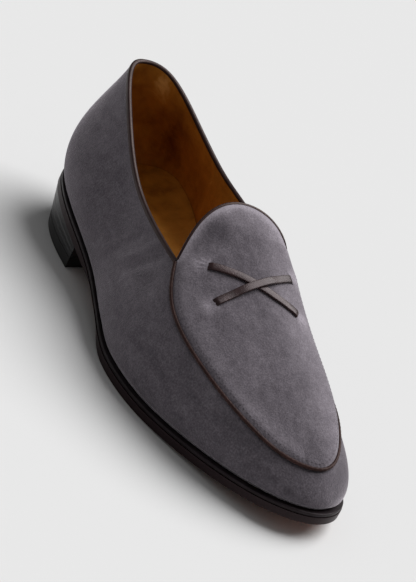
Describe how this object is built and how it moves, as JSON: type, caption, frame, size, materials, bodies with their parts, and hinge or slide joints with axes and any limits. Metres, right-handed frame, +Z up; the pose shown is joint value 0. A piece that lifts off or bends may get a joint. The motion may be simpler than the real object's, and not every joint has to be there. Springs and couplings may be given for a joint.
{
  "type": "suede apron loafer",
  "caption": "Low slip-on shoe for the right foot: hollow suede upper with a piped apron and crossed leather strips, leather sole with a rubber forepart inset and a stacked heel.",
  "frame": {"origin": "middle of the shoe's box, on the floor under the sole", "axes": "+X from heel to toe, +Y towards the inner side of the right foot, +Z up"},
  "size_m": [0.291, 0.1016, 0.0934],
  "materials": {
    "grey_suede": "brushed suede nap, matt",
    "binding_leather": "smooth calf, low sheen",
    "piping_leather": "smooth calf, low sheen",
    "strip_leather": "smooth calf, low sheen",
    "sock_leather": "smooth lining leather",
    "welt_leather": "waxed edge",
    "sole_leather": "polished sole leather",
    "tread_rubber": "matt moulded",
    "heel_leather": "waxed edge",
    "lift_leather": "polished sole leather"
  },
  "bodies": {
    "root": {"upper": "grey_suede", "collar_binding": "binding_leather", "tongue_binding": "binding_leather", "apron_piping": "piping_leather", "cross_strip_under": "strip_leather", "cross_strip_over": "strip_leather", "insole": "sock_leather", "welt": "welt_leather", "outsole": "sole_leather", "forepart_rubber": "tread_rubber", "heel_stack": "heel_leather", "top_lift": "lift_leather"}
  },
  "joints": []
}
